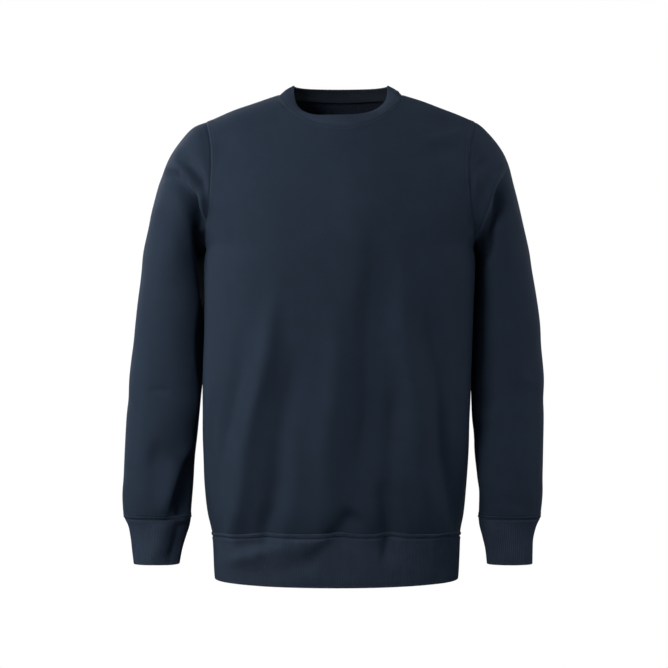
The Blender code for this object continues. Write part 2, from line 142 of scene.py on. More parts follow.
# The body at each height: half its width, how far it reaches to the front and the back,
# and how far its middle lies to the wearer's left
Body = namedtuple("Body", "z half_width front back shift")
BODY = [
    Body(-694, 175.0, 110, 100, -0.5),
    Body(-650, 176.0, 112, 101, -0.5),
    Body(-625, 178.5, 115, 104, -1.0),
    Body(-600, 183.5, 120, 108, -1.5),
    Body(-560, 187.5, 122, 110, -1.5),
    Body(-500, 191.0, 122, 107, -1.0),
    Body(-430, 192.5, 120, 101, -0.5),
    Body(-340, 192.5, 119, 98, 2.4),
    Body(-290, 193.8, 121, 102, 3.5),
    Body(-255, 195.0, 123, 107, 4.2),
    Body(-232, 194.6, 123.5, 109, 4.3),
    Body(-215, 192.5, 124, 110, 4.3),
    Body(-190, 205.0, 123, 112, 4.4),
    Body(-150, 226.0, 121, 114, 4.6),
    Body(-104, 243.0, 118, 112, 5.0),
    Body(-50, 252.0, 116, 108, 5.5),
    Body(20, 256.0, 114, 104, 6.0),
]
# Half the width between the armhole seams, on the front and on the back
Armhole = namedtuple("Armhole", "z front back")
ARMHOLE = [
    Armhole(-215, 192.5, 192.5),
    Armhole(-195, 190, 190),
    Armhole(-172, 186, 186),
    Armhole(-140, 183.5, 183),
    Armhole(-104, 182.5, 182),
    Armhole(-66, 186, 186),
    Armhole(-36, 194, 194),
]
# Sections of a sleeve or cuff, from the top down: where the outer and inner edge lie as seen
# from the front, their depth, and how far the cloth reaches to the front and back of them
Section = namedtuple("Section", "outer_x outer_z inner_x inner_z outer_y inner_y front back")
RIGHT_SLEEVE = [
    Section(188.4, -36, 188.2, -215, 5, 0, 72, 72),
    Section(208.0, -45, 188.4, -215.5, 6, 10, 76, 67),
    Section(224.7, -62, 188.3, -220, 8, 22, 77, 64),
    Section(239.6, -83, 189.2, -231, 11, 33, 77, 60),
    Section(250.4, -107, 189.8, -247, 14, 38, 75, 56),
    Section(260, -135, 189.7, -267, 17, 40, 72, 54),
    Section(270, -177, 189.5, -292, 21, 39, 68, 54),
    Section(281, -236, 189.4, -324, 25, 35, 62, 55),
    Section(289, -298, 190, -360, 28, 31, 57, 55),
    Section(295, -350, 192.8, -394, 28, 28, 53, 53),
    Section(300, -403, 196.5, -425, 25, 25, 51, 51),
    Section(304, -455, 200, -464, 18, 18, 49, 49),
    Section(306, -510, 204, -512, 8, 8, 45, 45),
    Section(307, -560, 207, -558, 0, 0, 41, 40),
    Section(307.5, -590, 209, -588, -5, -5, 37, 36),
    Section(304.5, -606, 209.5, -606, -8, -8, 32, 31),
]
LEFT_SLEEVE = [
    Section(199.7, -36, 196.8, -215, 5, 0, 72, 72),
    Section(212.9, -46, 197.0, -215.5, 6, 10, 76, 67),
    Section(229.0, -63.5, 196.9, -220, 8, 22, 77, 64),
    Section(241.9, -83, 197.8, -231, 11, 33, 77, 60),
    Section(251.2, -107, 198.4, -247, 14, 38, 75, 56),
    Section(259, -136, 197.9, -267, 17, 40, 72, 54),
    Section(269, -177, 196.6, -292, 21, 39, 68, 54),
    Section(281, -236, 195, -324, 25, 35, 62, 55),
    Section(292, -298, 193.3, -360, 28, 31, 57, 55),
    Section(297, -350, 193, -394, 28, 28, 53, 53),
    Section(300, -403, 195, -425, 25, 25, 51, 51),
    Section(300, -460, 197, -466, 18, 18, 49, 49),
    Section(298, -515, 202, -514, 8, 8, 45, 45),
    Section(296, -560, 206, -556, 0, 0, 41, 40),
    Section(295, -588, 205, -588, -5, -5, 37, 36),
    Section(292, -606, 203.5, -606, -8, -8, 32, 31),
]
RIGHT_CUFF = [
    RIGHT_SLEEVE[-1],
    Section(299, -617, 211.5, -617, -9, -9, 29, 28),
    Section(295.5, -634, 217, -634, -11, -11, 26, 26),
    Section(293.5, -650, 221.5, -650, -13, -13, 25, 25),
    Section(291, -669, 225, -669, -15, -15, 24, 24),
]
LEFT_CUFF = [
    LEFT_SLEEVE[-1],
    Section(286.5, -617, 205, -617, -9, -9, 29, 28),
    Section(282, -634, 209.5, -634, -11, -11, 26, 26),
    Section(281, -650, 213, -650, -13, -13, 25, 25),
    Section(280.5, -669, 215, -669, -15, -15, 24, 24),
]

# Folds: the two ends of a line on the cloth, how far the fold reaches to both sides of it,
# how far it stands out, or sinks where it is below zero, and how far its middle bows to the
# left. Left is towards -X, on the back too.
Fold = namedtuple("Fold", "x0 z0 x1 z1 left right height bow")
FRONT_FOLDS = [
    # the long folds from the chest and the waist to the hem
    Fold(44, -60, 38, -330, 50, 36, 4.0, 0),
    Fold(-128, -250, -119, -420, 24, 24, 2.0, 0),
    Fold(-126, -330, -178, -600, 12, 12, -4.0, 0),
    Fold(-84, -290, -150, -640, 15, 13, 9.5, 0),
    Fold(-60, -370, -104, -650, 17, 17, -8.5, 0),
    Fold(2, -310, -22, -640, 20, 20, 6.0, 0),
    Fold(52, -200, 37, -560, 16, 30, -8.0, 0),
    Fold(84, -230, 132, -640, 16, 15, 8.0, 0),
    Fold(78, -400, 78, -650, 15, 12, -6.5, 0),
    Fold(132, -300, 172, -640, 16, 12, -10.0, 0),
    Fold(-182, -430, -166, -630, 8, 10, -4.0, 0),
    # short ones that gather at the hem seam
    Fold(-14, -640, 22, -586, 14, 17, -9.0, 0),
    Fold(66, -545, 68, -646, 10, 14, -6.5, 0),
    Fold(-98, -576, -104, -640, 10, 10, -2.0, 0),
    Fold(122, -586, 128, -640, 6, 7, -2.0, 0),
    # the pull from each shoulder point
    Fold(104, -76, 196, -50, 7, 9, 5.0, 0),
    Fold(118, -40, 192, -40, 9, 9, -2.5, 0),
    Fold(122, -92, 184, -76, 9, 10, -3.0, 0),
    Fold(-180, -66, -130, -92, 14, 14, -2.0, 0),
]
BACK_FOLDS = [
    Fold(-132, -330, -148, -640, 19, 18, 6.5, 3),
    Fold(-84, -290, -96, -640, 16, 20, -8.0, -3),
    Fold(-30, -340, -44, -640, 20, 17, 7.0, 0),
    Fold(22, -270, 14, -640, 17, 20, -8.0, 4),
    Fold(74, -330, 84, -640, 20, 17, 6.5, -3),
    Fold(128, -300, 146, -640, 17, 17, -7.0, 3),
    Fold(-90, -372, 96, -360, 15, 18, -4.5, 5),
    Fold(-100, -402, 60, -398, 12, 14, 3.5, -6),
    Fold(-70, -128, -178, -170, 14, 12, 4.0, 3),
    Fold(74, -126, 178, -172, 12, 14, 4.0, -3),
    Fold(-84, -158, -168, -202, 12, 12, -3.0, 3),
    Fold(86, -156, 168, -204, 12, 12, -3.0, -3),
    Fold(-60, -590, -64, -640, 8, 8, -3.0, 0),
    Fold(44, -584, 48, -640, 9, 8, 3.0, 0),
    Fold(104, -590, 108, -640, 8, 8, -3.0, 0),
]
RIGHT_SLEEVE_FRONT_FOLDS = [
    Fold(-232, -84, -180, -140, 8, 8, -9.0, -4),
    Fold(-234, -96, -179, -200, 7, 7, 8.0, -15),
    Fold(-245, -111, -184, -226, 12, 5, -12.5, -21),
    Fold(-196, -140, -188, -300, 9, 6, -14.0, 0),
    Fold(-247, -110, -220, -118, 5, 5, -5.5, 0),
    Fold(-262, -150, -222, -240, 16, 16, 2.0, 0),
    Fold(-203, -256, -211, -490, 28, 7, 8.0, 0),
    Fold(-274, -420, -242, -423, 5, 5, -2.5, 0),
    Fold(-268, -512, -206, -526, 20, 20, -4.5, 0),
    Fold(-202, -492, -246, -600, 15, 5, 7.0, 3),
    Fold(-190, -496, -230, -620, 8, 12, -10.0, 3),
    Fold(-290, -560, -244, -600, 10, 12, 2.0, 0),
]
LEFT_SLEEVE_FRONT_FOLDS = [
    Fold(214, -88, 182, -122, 5, 6, -3.5, 0),
    Fold(242, -94, 186, -140, 10, 9, 4.0, 4),
    Fold(241, -106, 194, -206, 7, 6, 8.0, 7),
    Fold(247, -114, 205, -236, 9, 12, -15.0, 4),
    Fold(196, -426, 232, -444, 16, 16, -3.5, 0),
    Fold(196, -474, 228, -492, 16, 16, -3.0, 0),
    Fold(256, -402, 280, -412, 8, 9, 1.6, 0),
    Fold(216, -574, 280, -588, 9, 9, -1.6, 0),
    Fold(210, -540, 240, -600, 9, 10, 2.0, 0),
    Fold(202, -385, 208, -590, 9, 10, 6.0, 0),
]
RIGHT_SLEEVE_BACK_FOLDS = [
    Fold(-250, -96, -192, -176, 14, 12, -5.0, 0),
    Fold(-246, -76, -190, -140, 12, 12, 3.5, 0),
    Fold(-298, -384, -206, -410, 13, 15, -5.0, 3),
    Fold(-298, -412, -206, -436, 12, 12, 3.0, 0),
    Fold(-300, -440, -206, -462, 13, 14, -5.0, -3),
    Fold(-290, -560, -220, -596, 12, 12, 3.0, 0),
]
LEFT_SLEEVE_BACK_FOLDS = [
    Fold(250, -98, 192, -180, 14, 12, -5.0, 0),
    Fold(246, -78, 192, -142, 12, 12, 3.5, 0),
    Fold(296, -376, 206, -404, 14, 14, -5.0, -3),
    Fold(296, -406, 206, -432, 12, 12, 3.0, 0),
    Fold(296, -436, 204, -456, 14, 13, -5.0, 3),
    Fold(288, -556, 216, -592, 12, 12, 3.0, 0),
]
RIGHT_CUFF_FOLDS = [
    Fold(-243, -600, -264, -672, 14, 10, 3.0, 0),
    Fold(-222, -596, -238, -672, 9, 12, -5.0, 0),
]
LEFT_CUFF_FOLDS = [
    Fold(230, -610, 236, -672, 12, 12, 1.5, 0),
]
# The same on both sleeves' outer faces, by y and z, where left is the front
OUTER_FOLDS = [
    Fold(60, -330, -10, -390, 14, 14, -0.8, 3),
    Fold(64, -366, -20, -430, 12, 12, 0.5, 0),
    Fold(58, -410, -24, -452, 13, 13, -0.8, -3),
    Fold(-40, -150, 30, -240, 18, 18, 1.2, 0),
    Fold(-30, -540, 20, -600, 12, 12, 0.8, 0),
    Fold(24, -548, -16, -600, 10, 10, -0.8, 0),
]
HEM_BAND_FOLDS = [
    Fold(-162, -663, -10, -628, 9, 13, 4.2, 4),
    Fold(8, -620, -46, -664, 9, 12, -3.6, 0),
    Fold(-142, -640, -92, -632, 8, 7, -2.5, 0),
    Fold(-120, -690, 20, -652, 12, 12, -1.6, 4),
    Fold(66, -618, 70, -660, 10, 10, -3.8, 0),
    Fold(70, -640, 84, -684, 9, 9, 1.6, 0),
    Fold(150, -620, 158, -690, 14, 12, -4.0, 0),
]

# Reading a table and shaping a line


def ease(value, start, end):
    """0 before start and 1 after end, with a smooth rise between them."""
    t = np.clip((value - start) / (end - start), 0.0, 1.0)
    return t * t * (3 - 2 * t)


def bell(value, middle, reach):
    """1 at the middle, and almost 0 from twice the reach away."""
    return np.exp(-(((value - middle) / reach) ** 2))


def smooth(knots, values, where):
    """A smooth curve through the values at their knots, read anywhere between them."""
    knots, values = np.asarray(knots, float), np.asarray(values, float)
    slopes = np.gradient(values, knots)
    i = np.clip(np.searchsorted(knots, where) - 1, 0, len(knots) - 2)
    span = knots[i + 1] - knots[i]
    t = np.clip((where - knots[i]) / span, 0.0, 1.0)
    ends = values[i] * (1 + 2 * t) * (1 - t) ** 2 + values[i + 1] * (3 - 2 * t) * t**2
    bends = slopes[i] * t * (1 - t) ** 2 - slopes[i + 1] * (1 - t) * t**2
    return ends + span * bends


def smooth_points(knots, points, where):
    return np.stack([smooth(knots, points[:, k], where) for k in range(3)], axis=-1)


def at_height(table, column, z):
    """A column of a table that is ordered by height, read at any height."""
    return smooth([row.z for row in table], [getattr(row, column) for row in table], z)


def at_section(table, column, index):
    """A column of a table of sections, read at any place along it."""
    return smooth(range(len(table)), [getattr(row, column) for row in table], index)


def run_length(points, axis):
    """How far each point is along the cloth from the first one of its row or column."""
    steps = np.linalg.norm(np.diff(points, axis=axis), axis=-1)
    start = np.zeros_like(np.take(steps, [0], axis=axis))
    return np.concatenate([start, np.cumsum(steps, axis=axis)], axis=axis)


def closed(grid):
    """A ring's grid with its first column once more as its last."""
    return np.concatenate([grid, grid[:, :1]], axis=1)


def unit(vectors):
    return vectors / np.linalg.norm(vectors, axis=-1, keepdims=True)


def normals(points, ring):
    """A grid's normals. The columns of a ring close on themselves."""
    down = np.gradient(points, axis=0)
    if ring:
        across = (np.roll(points, -1, axis=1) - np.roll(points, 1, axis=1)) / 2
    else:
        across = np.gradient(points, axis=1)
    return unit(np.cross(across, down))


# The body's form


def ridge_z(x):
    """Height of the line over the shoulders, carried on across the neck."""
    near_middle = (x**2 / NECK_ROUNDING + NECK_ROUNDING) / 2
    rounded = np.where(np.abs(x) < NECK_ROUNDING, near_middle, np.abs(x))
    inward = (SHOULDER_X - rounded) / (SHOULDER_X - NECK_X)
    bow = SHOULDER_RISE * np.sin(np.clip(inward, 0, 1) * math.pi)
    return SHOULDER_Z + (NECK_Z - SHOULDER_Z) * inward + bow


def body_y(side, x, z):
    """How far forward or back the body's surface lies at a place seen from the front."""
    width = at_height(BODY, "half_width", z)
    reach = at_height(BODY, "front" if side == FRONT else "back", z)
    across = (1 - np.clip(np.abs(x) / width, 0, 1) ** ROUNDNESS) ** (1 / ROUNDNESS)
    up = np.clip((z - UNDERARM_Z) / (ridge_z(x) - UNDERARM_Z), 0, 1)
    over = (1 - up**SHOULDER_ROUNDNESS) ** (1 / SHOULDER_ROUNDNESS)
    return SHOULDER_Y * up**4 + side * reach * across * over


def neckline_z(side, x):
    """Height of the neck seam."""
    inward = np.clip(1 - (x / NECK_X) ** 2, 0, 1) ** NECKLINE_CURVE
    return NECK_Z - (FRONT_NECK_DROP if side == FRONT else BACK_NECK_DROP) * inward


def edge_x(side, z):
    """Half the panel's width: to the side seam, and above it to the armhole."""
    armhole = at_height(ARMHOLE, "front" if side == FRONT else "back", z)
    return np.where(z > UNDERARM_Z, armhole, at_height(BODY, "half_width", z))


def columns():
    """Column places from -1 to 1, closer together beside the side edges."""
    edge = 1 - np.array(SEAM_STEPS[::-1]) / HALF_ROUND
    neck = np.linspace(0, NECK_SHARE, NECK_COLUMNS + 1)
    shoulder = np.linspace(NECK_SHARE, edge[0], SHOULDER_COLUMNS + 1)[1:]
    half = np.concatenate([neck, shoulder, edge[1:]])
    return np.concatenate([-half[:0:-1], half])


def bottom_share(column):
    """How far out a column lies along the hem, as a share of half its width."""
    return np.sin(column * math.pi / 2)


def top_share(column):
    """How far out a column lies along the neck and shoulder, as a share of SHOULDER_X."""
    place = np.abs(column)
    along_neck = np.clip(place / NECK_SHARE, 0, 1)
    along_shoulder = np.clip((place - NECK_SHARE) / (1 - NECK_SHARE), 0, 1)
    neck = NECK_X / SHOULDER_X * np.sin(along_neck * math.pi / 2)
    shoulder = (1 - NECK_X / SHOULDER_X) * along_shoulder
    return np.sign(column) * (neck + shoulder)


def armhole_angles():
    """The armhole's rows as angles round it, from the underarm up to the shoulder point."""
    return np.linspace(math.pi, 0, ARMHOLE_ROWS + 1)


def panel_heights():
    """Heights of the panel's edge, closer together beside the hem seam."""
    middle = (SHOULDER_Z + UNDERARM_Z) / 2
    half = (SHOULDER_Z - UNDERARM_Z) / 2
    steps = HEM_SEAM_Z + np.array(SEAM_STEPS)
    lower = np.linspace(steps[-1], UNDERARM_Z, LOWER_ROWS + 1)[1:-1]
    return np.concatenate([steps, lower, middle + half * np.cos(armhole_angles())])


def hem_seam_z(side, column):
    """Height of the hem seam, which never runs quite straight."""
    rise = HEM_SEAM_RISE if side == FRONT else 0.0
    wander = 0.25 * np.sin(19 * column + 2) + 0.15 * np.sin(43 * column)
    return HEM_SEAM_Z + rise * np.cos(column * math.pi / 2) + wander * (1 - column**2)


def shifted(x, y, z):
    """Points moved sideways by as much as the body is at their height."""
    return np.stack([x + at_height(BODY, "shift", z), y, z], axis=-1)


def panel(side, folds):
    """The front's or back's outer points, from the hem seam to the shoulders and neck."""
    heights, column = panel_heights(), columns()
    top_x = SHOULDER_X * top_share(column)
    top_z = np.where(np.abs(column) <= NECK_SHARE, neckline_z(side, top_x), ridge_z(top_x))
    up = ((heights - HEM_SEAM_Z) / (SHOULDER_Z - HEM_SEAM_Z))[:, None]
    bottom_z = hem_seam_z(side, column)
    z = bottom_z + (top_z - bottom_z) * up
    towards_top = ease(heights, UNDERARM_Z - TAPER, SHOULDER_Z)[:, None]
    share = bottom_share(column) + (top_share(column) - bottom_share(column)) * towards_top
    x = edge_x(side, heights)[:, None] * share
    points = shifted(x, body_y(side, x, z), z)
    clear_of_seams = (1 - np.abs(column) ** 12) * (1 - up**24)
    points = folded(points, False, folds, clear_of_seams, -side)
    return sewn(points, side)


def sewn(points, side):
    """A panel with the relief of its seams: armholes, side seams, hem, neck and shoulders."""
    heights, column = panel_heights(), columns()
    from_right, from_hem = run_length(points, 1), run_length(points, 0)
    from_left, from_top = from_right[:, -1:] - from_right, from_hem[-1:] - from_hem
    above = ease(heights, UNDERARM_Z - 6, UNDERARM_Z + 10)[:, None]
    on_neck = 1 - ease(np.abs(column), NECK_SHARE - 0.04, NECK_SHARE)
    relief = np.zeros(points.shape[:2])
    for distance in (from_right, from_left):  # the armholes above, the side seams below
        relief += above * twin_needle(distance, 0.6) + (1 - above) * plain_seam(distance)
    relief += puckers(column[None, :] * HALF_ROUND, from_hem, side) - 0.25 * bell(from_hem, 0, 1.2)
    relief += on_neck * twin_needle(from_top, 0.7) + (1 - on_neck) * plain_seam(from_top)
    relief += undulation(points, side)
    return points - side * relief[..., None] * normals(points, False)


# Seams, puckers and the cloth's own unevenness, all as heights. Distances are from the seam.


def twin_needle(distance, strength):
    """A seam stitched down twice: a groove, then a strip that two rows of stitches press."""
    strip = 0.8 * ease(distance, 0.2, 2.6) * (1 - ease(distance, 6.4, 9.5))
    dents = sum(bell(distance, line, 0.75) for line in NEEDLE_LINES)
    return strength * (strip - 0.8 * dents - 0.3 * bell(distance, 0, 0.9))


def band_strip(distance):
    """The band's own top edge: a raised strip, the row of stitches under it, and a rise."""
    strip = 0.9 * ease(distance, 0.0, 1.2) * (1 - ease(distance, 3.6, 5.4))
    return strip - 1.4 * bell(distance, NEEDLE_LINES[1], 0.9) + 0.5 * bell(distance, 8.4, 1.5)


def plain_seam(distance):
    """A seam that isn't stitched down: a groove with a slight swelling beside it."""
    return -0.8 * bell(distance, 0, 1.2) + 0.25 * bell(distance, 3.0, 2.0)


def armhole_side(distance):
    """The sleeve's side of the armhole seam: a slight groove and a slow swelling."""
    swelling = 0.5 * ease(distance, 0, 3.5) * (1 - ease(distance, 4, 24))
    return swelling - 0.2 * bell(distance, 0, 0.9)


def puckers(along, distance, seed):
    """Small ripples that the stitches draw up beside a seam, uneven in length and depth."""
    wave = np.sin(along / 2.9 + 1.7 * np.sin(along / 11.3 + seed))
    wave = wave * (0.55 + 0.45 * np.sin(along / 23.0 + 2.0 * seed))
    return 0.35 * wave * ease(distance, 0.5, 3.0) * (1 - ease(distance, 9.0, 22.0))


def undulation(points, seed):
    """The slow, slight waviness that thick fleece always keeps: waves of three lengths."""
    x, z = points[..., 0], points[..., 2]
    wave = np.sin(x / 21.0 + 1.9 * np.sin(z / 67.0 + seed) + seed)
    wave = wave + np.sin(z / 33.0 + 1.6 * np.sin(x / 43.0 + 2 * seed))
    return 0.28 * wave + 0.22 * np.sin((x + 0.6 * z) / 13.0 + 2.2 * np.sin((z - x) / 51.0))


# Folds


def fold_height(folds, x, z):
    """How far the folds move the cloth at a place seen from the front.

    Each line sways a little, its fold fades in and out at its ends, and is uneven along it.
    """
    height = np.zeros_like(x)
    sway_x = x + 3.0 * np.sin(z / 29.0 + 1.1 * np.sin(x / 47.0))
    for number, fold in enumerate(folds):
        run = np.array([fold.x1 - fold.x0, fold.z1 - fold.z0])
        length = np.hypot(*run)
        along = ((sway_x - fold.x0) * run[0] + (z - fold.z0) * run[1]) / length**2
        off = ((sway_x - fold.x0) * run[1] - (z - fold.z0) * run[0]) / length
        off = off + fold.bow * 4 * along * (1 - along) * np.sign(run[1])
        reach = np.where(off * np.sign(run[1]) < 0, fold.left, fold.right)
        ends = ease(along, -0.1, 0.25) * (1 - ease(along, 0.75, 1.1))
        uneven = 1 + 0.18 * np.sin(7.0 * along + 2.4 * number)
        height += fold.height * uneven * ends * bell(off, 0, reach)
    return height


def folded(points, ring, folds, amount, facing):
    """The points moved out or in by the folds. facing is 1 where normals() points out."""
    height = fold_height(folds, points[..., 0], points[..., 2]) * amount
    return points + facing * height[..., None] * normals(points, ring)


# Sleeves and cuffs


def armhole_ring(front, back, side):
    """The armhole's points, from the shoulder point down the front and up the back."""
    column = -1 if side == LEFT else 0
    front_edge = front[ON_ARMHOLE, column][::-1]
    back_edge = back[ON_ARMHOLE, column]
    return np.concatenate([front_edge, back_edge[1:-1]])


def ring_angles():
    """The angles of a sleeve's columns, in the order of the armhole's points."""
    half = armhole_angles()[::-1]
    return np.concatenate([half, 2 * math.pi - half[::-1][1:-1]])


def sections(table, side, index, angle):
    """Rings through a sleeve's or cuff's table of sections."""
    outward = (1 + np.cos(angle[None, :])) / 2
    read = Section(*(at_section(table, name, index[:, None]) for name in Section._fields))
    x = read.inner_x + (read.outer_x - read.inner_x) * outward
    y = read.inner_y + (read.outer_y - read.inner_y) * outward
    z = read.inner_z + (read.outer_z - read.inner_z) * outward
    reach = np.where(np.sin(angle) > 0, read.front, read.back)
    return np.stack([side * x, y - reach * np.sin(angle), z], axis=-1)


def facing_share(angle, side):
    """1 on the part of a ring that faces the front or the back, and 0 on the rest."""
    return ease(-side * np.sin(angle), -0.1, 0.45)[None, :]


def sleeve_index(table, side):
    """Places along the table, evenly apart on the cloth and closer beside both seams."""
    fine = np.linspace(0, len(table) - 1, 600)
    down = run_length(sections(table, side, fine, ring_angles()), 0).mean(axis=1)
    steps = np.array(SEAM_STEPS)
    middle = np.linspace(steps[-1], down[-1] - steps[-1], SLEEVE_ROWS + 1)[1:-1]
    return np.interp(np.concatenate([steps, middle, down[-1] - steps[::-1]]), down, fine)


def sleeve(front, back, side, table, front_folds, back_folds):
    """A sleeve that starts on the armhole and ends at its cuff seam."""
    index, angle, last = sleeve_index(table, side), ring_angles(), len(table) - 1
    points = sections(table, side, index, angle)
    fading = (1 - np.clip(index / ARMHOLE_REACH, 0, 1)) ** 2
    points += fading[:, None, None] * (armhole_ring(front, back, side) - points[0])
    clear_of_seams = (ease(index, 0.0, 1.0) * (1 - ease(index, last - 0.4, last)))[:, None]
    points = folded(points, True, front_folds, clear_of_seams * facing_share(angle, FRONT), side)
    points = folded(points, True, back_folds, clear_of_seams * facing_share(angle, BACK), side)
    outer_face = ease(np.cos(angle), 0.3, 0.8)[None, :]
    height = fold_height(OUTER_FOLDS, points[..., 1], points[..., 2])
    height *= clear_of_seams * outer_face
    from_armhole = run_length(points, 0)
    from_cuff = from_armhole[-1:] - from_armhole
    from_underarm_seam = np.abs(angle - math.pi)[None, :] * SLEEVE_RADIUS
    around = COLUMN_WIDTH * np.arange(1, len(angle) + 1)[None, :]
    height += undulation(points, 3 * side) * ease(from_armhole, 0, 20)
    height += armhole_side(from_armhole) + 0.4 * puckers(around, from_armhole, 2 + side)
    height += twin_needle(from_cuff, 1.0) + puckers(around, from_cuff, side)
    height += plain_seam(from_underarm_seam) * ease(from_armhole, 4, 20)
    return points + side * height[..., None] * normals(points, True)


def rib_angles(ribs):
    """The angles of a ribbed band's columns, all round."""
    count = ribs * RIB_COLUMNS
    return np.arange(count) / count * 2 * math.pi


def cuff(table, side, sleeve_points, folds):
    """A cuff's outer points. It starts on the sleeve's last ring and springs clear of it."""
    index, angle = np.linspace(0, len(table) - 1, CUFF_ROWS + 1), rib_angles(CUFF_RIBS)
    points = sections(table, side, index, angle)
    ring = closed(sleeve_points[-1:])[0]
    start = smooth_points(np.append(ring_angles(), 2 * math.pi), ring, angle)
    fading = (1 - np.clip(index / CUFF_REACH, 0, 1)) ** 2
    points += fading[:, None, None] * (start - points[0])
    amount = ease(index, 0.0, 1.0)[:, None] * facing_share(angle, FRONT)
    return folded(points, True, folds, amount, side)


# The hem band and the collar


def hem_band(front, back):
    """The hem band's outer points, from its seam down: left, front, right, back."""
    angle = rib_angles(HEM_RIBS)
    in_front = angle < math.pi
    column = np.where(angle <= math.pi, 1 - 2 * angle / math.pi, 2 * angle / math.pi - 3)
    depth = HEM_SEAM_Z - HEM_EDGE_Z
    rows = np.linspace(BAND_STEPS[-1] / depth, 1, HEM_ROWS + 1)[1:]
    down = np.concatenate([np.array(BAND_STEPS) / depth, rows])[:, None]
    edge = HEM_SEAM_Z - depth * down
    x = at_height(BODY, "half_width", edge) * bottom_share(column)
    halves = []
    for side, edge_row, drop in ((FRONT, front[0], HEM_EDGE_DROP), (BACK, back[0], 0.0)):
        seam_z = hem_seam_z(side, column)
        edge_z = HEM_EDGE_Z - drop * np.cos(column * math.pi / 2) ** 2
        z = seam_z + (edge_z - seam_z) * down
        points = shifted(x, body_y(side, x, z), z)
        start = smooth_points(columns(), edge_row, column)
        halves.append(points + (1 - down[..., None]) ** 1.5 * (start - points[:1]))
    points = np.where(in_front[None, :, None], halves[0], halves[1])
    amount = ease(down, 0.0, 0.15) * (1 - 0.7 * ease(down, 0.6, 1.0)) * in_front
    height = fold_height(HEM_BAND_FOLDS, points[..., 0], points[..., 2]) * amount
    height += HEM_SWELL * np.sin(down * math.pi) ** 0.8 + 0.5 * undulation(points, 5)
    height += 0.35 * np.sin(angle * 31 + 2 * np.sin(angle * 7)) * (1 - ease(down, 0, 0.35))
    height += band_strip(down * depth)
    return points + height[..., None] * normals(points, True)


def collar(front, back):
    """The collar's outer points, from the neck seam up to its folded edge."""
    angle = rib_angles(COLLAR_RIBS)
    in_front = angle < math.pi
    column = np.where(
        angle <= math.pi, NECK_SHARE - angle / math.pi, angle / math.pi - 1 - NECK_SHARE
    )
    seam_front = smooth_points(columns(), front[-1], column)
    seam_back = smooth_points(columns(), back[-1], column)
    seam = np.where(in_front[:, None], seam_front, seam_back)
    middle_x = (seam[:, 0].max() + seam[:, 0].min()) / 2
    across = np.cos(angle)
    squareness = 2.5 + 1.5 * ease(-across, -0.3, 0.5)  # squarer on the wearer's right
    climbed = (1 - np.abs(across) ** squareness) ** 0.4
    reach = np.where(in_front, -RIM_FRONT - RIM_MIDDLE_Y, RIM_BACK - RIM_MIDDLE_Y)
    climb = np.where(in_front, RIM_FRONT_Z - RIM_SIDE_Z, RIM_BACK_Z - RIM_SIDE_Z)
    x = middle_x + RIM_X * across
    y = RIM_MIDDLE_Y + reach * np.abs(np.sin(angle))
    rim = [x, y, RIM_SIDE_Z + climb * climbed]
    up = np.linspace(0, 1, COLLAR_ROWS + 1)[:, None, None]
    points = seam + (np.stack(rim, axis=-1) - seam) * up
    swell = COLLAR_SWELL * np.sin(up * math.pi)
    return points - swell * normals(points, True)


# Meshes


def cloth_mesh(name, points, ring, flip, materials, loop=False):
    """A sheet whose place along the cloth, in both directions, is kept as a UV map.

    The columns of a ring and the rows of a loop close on themselves. flip turns it inside out.
    """
    index = np.arange(points.shape[0] * points.shape[1]).reshape(points.shape[:2])
    spread = points
    if ring:
        index, spread = closed(index), closed(spread)
    if loop:
        index = np.concatenate([index, index[:1]])
        spread = np.concatenate([spread, spread[:1]])
    across = run_length(spread, 1)
    middle = across.shape[1] // 2
    across = across - across[:, middle : middle + 1]
    quads = corners(index)
    places = corners(np.stack([across, run_length(spread, 0)], axis=-1))
    if flip:
        quads, places = quads[:, ::-1], places[:, ::-1]
    mesh = bpy.data.meshes.new(name)
    mesh.from_pydata((points.reshape(-1, 3) * MM).tolist(), [], quads.tolist())
    layer = mesh.uv_layers.new(name="cloth")
    layer.uv.foreach_set("vector", (places * MM).astype(np.float32).ravel())
    mesh.shade_smooth()
    for material in materials:
        mesh.materials.append(material)
    return placed(name, mesh)


def placed(name, content):
    """An object in the scene that holds a mesh, a light or a camera."""
    holder = bpy.data.objects.new(name, content)
    bpy.context.scene.collection.objects.link(holder)
    return holder


def corners(grid):
    """What a grid holds at the four corners of each of its cells."""
    found = np.stack([grid[:-1, :-1], grid[:-1, 1:], grid[1:, 1:], grid[1:, :-1]], axis=2)
    return found.reshape(-1, 4, *grid.shape[2:])


def thicken(piece, thickness):
    """Gives a sheet its thickness, on the inside, with the brushed face as second material."""
    solid = piece.modifiers.new("thickness", "SOLIDIFY")
    solid.thickness = thickness * MM
    solid.offset = -1
    solid.material_offset = 1
    solid.material_offset_rim = 0


